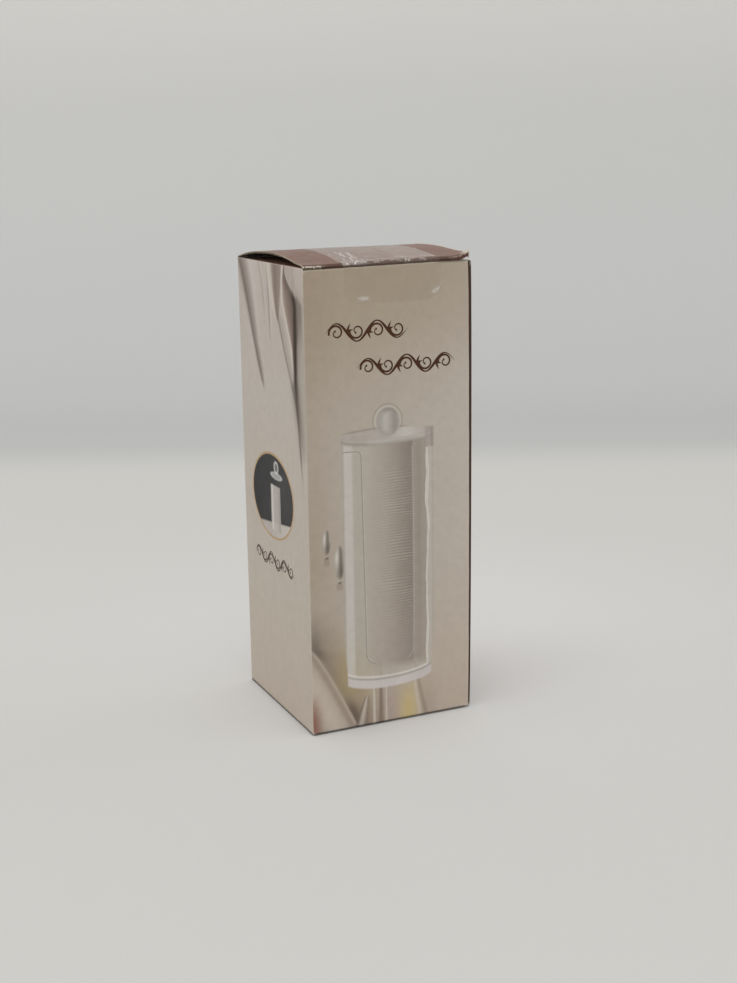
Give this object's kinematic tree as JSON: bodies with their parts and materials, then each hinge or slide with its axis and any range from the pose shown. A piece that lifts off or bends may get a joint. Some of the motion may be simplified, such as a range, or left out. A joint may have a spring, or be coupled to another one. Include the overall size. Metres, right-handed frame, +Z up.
{
  "type": "makeup organizer in its carton",
  "caption": "Tall square retail carton with tuck lids at both ends and a clear film seal, holding a clear cylindrical cotton pad organizer with a front slot and a knobbed lid",
  "frame": {"origin": "middle of the face that the carton stands on", "axes": "+Z up, printed front facing -Y, +X to the right of the front"},
  "size_m": [0.077, 0.0771, 0.2047],
  "materials": {
    "printed_board": "matt varnished print on folding boxboard",
    "brown_board": "flat brown print on folding boxboard, with pale raw edges",
    "clear_film": "thin glossy clear film",
    "clear_acrylic": "polished clear acrylic"
  },
  "bodies": {
    "carton": {"front_panel": "printed_board", "left_side_panel": "printed_board", "back_panel": "printed_board", "right_side_panel": "brown_board", "glue_flap": "brown_board"},
    "top_lid": {"top_lid_panel": "brown_board", "seal_label_top": "clear_film"},
    "top_tuck": {"top_tuck_flap": "brown_board", "seal_label_tab": "clear_film"},
    "top_left_dust": {"top_left_dust_flap": "brown_board"},
    "top_right_dust": {"top_right_dust_flap": "brown_board"},
    "bottom_lid": {"bottom_lid_panel": "brown_board"},
    "bottom_tuck": {"bottom_tuck_flap": "brown_board"},
    "bottom_left_dust": {"bottom_left_dust_flap": "brown_board"},
    "bottom_right_dust": {"bottom_right_dust_flap": "brown_board"},
    "organizer": {"organizer_tube": "clear_acrylic", "organizer_base": "clear_acrylic"},
    "organizer_lid": {"organizer_lid_plate": "clear_acrylic", "organizer_lid_spigot": "clear_acrylic", "organizer_knob": "clear_acrylic"}
  },
  "joints": [
    {"name": "top_lid_hinge", "type": "hinge", "parent": "carton", "child": "top_lid", "pos_m": [0, 0.0385, 0.2006], "axis": [-1, 0, 0], "range_deg": [0, 170]},
    {"name": "top_tuck_crease", "type": "hinge", "parent": "top_lid", "child": "top_tuck", "pos_m": [0, -0.03732, 0.2006], "axis": [-1, 0, 0], "range_deg": [0, 68]},
    {"name": "top_left_dust_crease", "type": "hinge", "parent": "carton", "child": "top_left_dust", "pos_m": [-0.0385, 0, 0.2], "axis": [0, -1, 0], "range_deg": [0, 85]},
    {"name": "top_right_dust_crease", "type": "hinge", "parent": "carton", "child": "top_right_dust", "pos_m": [0.0385, 0, 0.2], "axis": [0, 1, 0], "range_deg": [0, 85]},
    {"name": "bottom_lid_hinge", "type": "hinge", "parent": "carton", "child": "bottom_lid", "pos_m": [0, 0.0385, 0], "axis": [1, 0, 0], "range_deg": [0, 170]},
    {"name": "bottom_tuck_crease", "type": "hinge", "parent": "bottom_lid", "child": "bottom_tuck", "pos_m": [0, -0.03732, 0], "axis": [1, 0, 0], "range_deg": [0, 68]},
    {"name": "bottom_left_dust_crease", "type": "hinge", "parent": "carton", "child": "bottom_left_dust", "pos_m": [-0.0385, 0, 0.0006], "axis": [0, 1, 0], "range_deg": [0, 85]},
    {"name": "bottom_right_dust_crease", "type": "hinge", "parent": "carton", "child": "bottom_right_dust", "pos_m": [0.0385, 0, 0.0006], "axis": [0, -1, 0], "range_deg": [0, 85]},
    {"name": "organizer_lift", "type": "slide", "parent": "carton", "child": "organizer", "axis": [0, 0, 1], "range_m": [0, 0.0012]},
    {"name": "organizer_lid_lift", "type": "slide", "parent": "organizer", "child": "organizer_lid", "axis": [0, 0, 1], "range_m": [0, 0.0013]}
  ],
  "couplings": [
    {"joint": "top_tuck_crease", "follows": "top_lid_hinge", "ratio": 0.4},
    {"joint": "top_left_dust_crease", "follows": "top_lid_hinge", "ratio": 0.5},
    {"joint": "top_right_dust_crease", "follows": "top_lid_hinge", "ratio": 0.5},
    {"joint": "bottom_tuck_crease", "follows": "bottom_lid_hinge", "ratio": 0.4},
    {"joint": "bottom_left_dust_crease", "follows": "bottom_lid_hinge", "ratio": 0.5},
    {"joint": "bottom_right_dust_crease", "follows": "bottom_lid_hinge", "ratio": 0.5}
  ]
}
